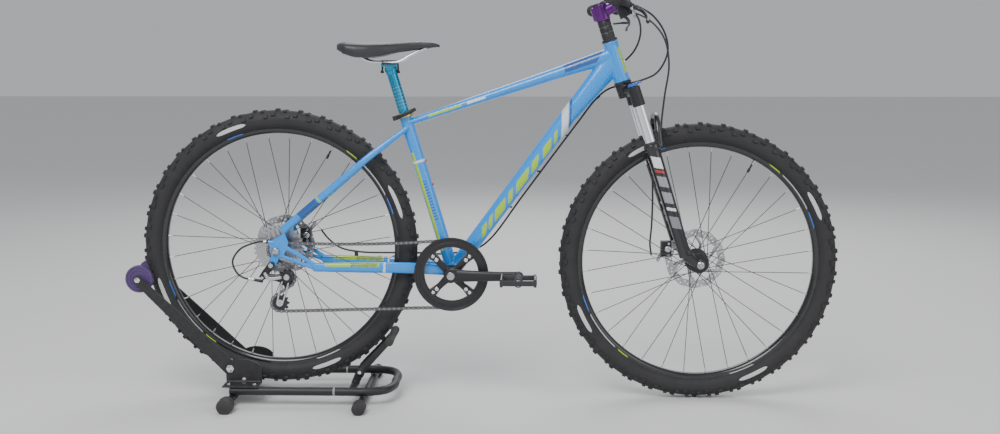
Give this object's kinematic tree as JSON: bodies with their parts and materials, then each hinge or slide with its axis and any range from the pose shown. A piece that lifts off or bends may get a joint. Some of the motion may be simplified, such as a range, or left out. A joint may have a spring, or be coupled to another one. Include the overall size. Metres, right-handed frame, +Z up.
{
  "type": "bicycle on stand",
  "caption": "Mountain bicycle with a suspension fork and disc brakes, held on a folding rear-wheel roller stand for indoor riding.",
  "frame": {"origin": "floor level, midway along and across the object", "axes": "+X forward, from the rear wheel to the front wheel; +Y to the rider's left; +Z up"},
  "size_m": [1.863, 0.712, 1.057],
  "materials": {
    "sky_paint": "gloss",
    "black_powder": "satin",
    "black_paint": "gloss",
    "black_plastic": "matte",
    "purple_plastic": "satin",
    "rubber": "matte",
    "tyre": "matte",
    "steel": "brushed",
    "chrome": "polished",
    "anodised_blue": "anodised",
    "anodised_purple": "anodised",
    "anodised_gold": "anodised",
    "royal_blue": "gloss",
    "saddle_skin": "satin",
    "cable_housing": "satin"
  },
  "bodies": {
    "stand": {"stand_base": "black_powder", "rear_foot_bar": "rubber", "front_foot_bar": "rubber", "rear_bracket_right": "black_powder", "rear_bracket_left": "black_powder", "front_cradle": "black_powder"},
    "roller_arm": {"roller_arm": "black_powder"},
    "roller": {"arm_roller": "purple_plastic"},
    "frame": {"head_tube": "sky_paint", "top_tube": "sky_paint", "down_tube": "sky_paint", "seat_tube": "sky_paint", "right_chainstay": "sky_paint", "left_chainstay": "sky_paint", "seatstays": "sky_paint", "seat_clamp": "anodised_gold", "rear_derailleur": "black_paint", "rear_caliper": "black_paint", "chain": "steel", "shift_cable_front": "cable_housing", "shift_cable_rear": "cable_housing", "rear_brake_cable": "cable_housing"},
    "rear_wheel": {"rear_tyre": "tyre", "rear_rim": "black_paint", "rear_hub": "steel", "rear_rotor": "steel"},
    "cassette": {"cassette": "steel"},
    "crank": {"crankset": "black_plastic", "chainring": "steel", "left_crank": "black_paint"},
    "right_pedal": {"right_pedal": "black_plastic"},
    "left_pedal": {"left_pedal": "black_plastic"},
    "derailleur_cage": {"derailleur_cage": "steel"},
    "guide_pulley": {"guide_pulley": "black_plastic"},
    "tension_pulley": {"tension_pulley": "black_plastic"},
    "seat": {"seat_post": "anodised_blue", "saddle": "saddle_skin"},
    "seat_clamp_lever": {"seat_clamp_lever": "black_paint"},
    "rear_axle_lever": {"rear_axle_lever": "chrome"},
    "rear_caliper_arm": {"rear_caliper_arm": "black_paint"},
    "steering": {"fork_upper": "chrome", "stem": "anodised_purple", "handlebar": "black_paint", "right_grip": "rubber", "left_grip": "rubber", "right_controls": "black_plastic", "left_controls": "black_plastic", "front_brake_cable": "cable_housing"},
    "right_brake_lever": {"right_brake_lever": "black_paint"},
    "left_brake_lever": {"left_brake_lever": "black_paint"},
    "shift_lever": {"shift_lever": "black_plastic"},
    "lockout_lever": {"lockout_lever": "royal_blue"},
    "fork_lowers": {"fork_lower": "black_paint", "front_caliper": "black_paint"},
    "front_caliper_arm": {"front_caliper_arm": "black_paint"},
    "front_axle_lever": {"front_axle_lever": "chrome"},
    "front_wheel": {"front_tyre": "tyre", "front_rim": "black_paint", "front_hub": "steel", "front_rotor": "steel"}
  },
  "joints": [
    {"name": "roller_arm_fold", "type": "hinge", "parent": "stand", "child": "roller_arm", "pos_m": [-0.6575, 0, 0.087], "axis": [0, -1, 0], "range_deg": [0, 34]},
    {"name": "roller_spin", "type": "hinge", "parent": "roller_arm", "child": "roller", "pos_m": [-0.8955, 0, 0.3215], "axis": [0, 1, 0], "continuous": true},
    {"name": "bike_lift", "type": "slide", "parent": "stand", "child": "frame", "axis": [0, 0, 1], "range_m": [0, 0.25]},
    {"name": "rear_wheel_spin", "type": "hinge", "parent": "frame", "child": "rear_wheel", "pos_m": [-0.5295, 0, 0.4], "axis": [0, 1, 0], "continuous": true},
    {"name": "cassette_spin", "type": "hinge", "parent": "frame", "child": "cassette", "pos_m": [-0.5295, 0, 0.4], "axis": [0, 1, 0], "continuous": true},
    {"name": "crank_spin", "type": "hinge", "parent": "frame", "child": "crank", "pos_m": [-0.0755, 0, 0.338], "axis": [0, 1, 0], "continuous": true},
    {"name": "right_pedal_spin", "type": "hinge", "parent": "crank", "child": "right_pedal", "pos_m": [0.0995, -0.13, 0.338], "axis": [0, 1, 0], "continuous": true},
    {"name": "left_pedal_spin", "type": "hinge", "parent": "crank", "child": "left_pedal", "pos_m": [-0.2505, 0.13, 0.338], "axis": [0, 1, 0], "continuous": true},
    {"name": "derailleur_cage_swing", "type": "hinge", "parent": "frame", "child": "derailleur_cage", "pos_m": [-0.4995, -0.0615, 0.334], "axis": [0, -1, 0], "range_deg": [0, 12], "stiffness_Nm_per_rad": 1.5, "springref_deg": -28.65, "deforming": ["chain"]},
    {"name": "guide_pulley_spin", "type": "hinge", "parent": "derailleur_cage", "child": "guide_pulley", "pos_m": [-0.5055, -0.0615, 0.326], "axis": [0, 1, 0], "continuous": true},
    {"name": "tension_pulley_spin", "type": "hinge", "parent": "derailleur_cage", "child": "tension_pulley", "pos_m": [-0.5235, -0.0615, 0.262], "axis": [0, 1, 0], "continuous": true},
    {"name": "seat_height", "type": "slide", "parent": "frame", "child": "seat", "axis": [-0.2857, 0, 0.9583], "range_m": [-0.09, 0.04]},
    {"name": "seat_clamp_release", "type": "hinge", "parent": "frame", "child": "seat_clamp_lever", "pos_m": [-0.2213, -0.0188, 0.7412], "axis": [0.2857, 0, -0.9583], "range_deg": [0, 150]},
    {"name": "rear_axle_release", "type": "hinge", "parent": "frame", "child": "rear_axle_lever", "pos_m": [-0.5295, 0.0798, 0.4], "axis": [0, 0, -1], "range_deg": [0, 155]},
    {"name": "rear_caliper_pull", "type": "hinge", "parent": "frame", "child": "rear_caliper_arm", "pos_m": [-0.4735, 0.0673, 0.426], "axis": [0, 1, 0], "range_deg": [0, 25], "stiffness_Nm_per_rad": 1, "springref_deg": -11.46, "deforming": ["rear_brake_cable"]},
    {"name": "steering_turn", "type": "hinge", "parent": "frame", "child": "steering", "pos_m": [0.3648, 0, 0.8372], "axis": [-0.3074, 0, 0.9516], "range_deg": [-60, 60], "deforming": ["shift_cable_front", "rear_brake_cable"]},
    {"name": "right_brake_pull", "type": "hinge", "parent": "steering", "child": "right_brake_lever", "pos_m": [0.3783, -0.198, 1.0138], "axis": [0, 0, -1], "range_deg": [0, 18], "stiffness_Nm_per_rad": 1, "springref_deg": -11.46},
    {"name": "left_brake_pull", "type": "hinge", "parent": "steering", "child": "left_brake_lever", "pos_m": [0.3783, 0.198, 1.0138], "axis": [0, 0, 1], "range_deg": [0, 18], "stiffness_Nm_per_rad": 1, "springref_deg": -11.46},
    {"name": "shift_lever_push", "type": "hinge", "parent": "steering", "child": "shift_lever", "pos_m": [0.3566, -0.168, 0.981], "axis": [0, 0, -1], "range_deg": [0, 30], "stiffness_Nm_per_rad": 0.5, "springref_deg": -11.46},
    {"name": "lockout_turn", "type": "hinge", "parent": "steering", "child": "lockout_lever", "pos_m": [0.3878, -0.065, 0.8247], "axis": [-0.3074, 0, 0.9516], "range_deg": [0, 90]},
    {"name": "fork_travel", "type": "slide", "parent": "steering", "child": "fork_lowers", "axis": [-0.3074, 0, 0.9516], "range_m": [0, 0.08], "stiffness_N_per_m": 5000, "springref_m": -0.02, "deforming": ["front_brake_cable"]},
    {"name": "front_caliper_pull", "type": "hinge", "parent": "fork_lowers", "child": "front_caliper_arm", "pos_m": [0.4903, 0.0548, 0.3933], "axis": [0, 1, 0], "range_deg": [0, 25], "stiffness_Nm_per_rad": 1, "springref_deg": -11.46, "deforming": ["front_brake_cable"]},
    {"name": "front_axle_release", "type": "hinge", "parent": "fork_lowers", "child": "front_axle_lever", "pos_m": [0.5685, 0.0745, 0.366], "axis": [0, 0, -1], "range_deg": [0, 170]},
    {"name": "front_wheel_spin", "type": "hinge", "parent": "fork_lowers", "child": "front_wheel", "pos_m": [0.5685, 0, 0.366], "axis": [0, 1, 0], "continuous": true}
  ],
  "couplings": [
    {"joint": "cassette_spin", "follows": "crank_spin", "ratio": 4},
    {"joint": "guide_pulley_spin", "follows": "crank_spin", "ratio": -4},
    {"joint": "tension_pulley_spin", "follows": "crank_spin", "ratio": 4},
    {"joint": "rear_caliper_pull", "follows": "right_brake_pull", "ratio": 1.2},
    {"joint": "front_caliper_pull", "follows": "left_brake_pull", "ratio": 1.2}
  ]
}
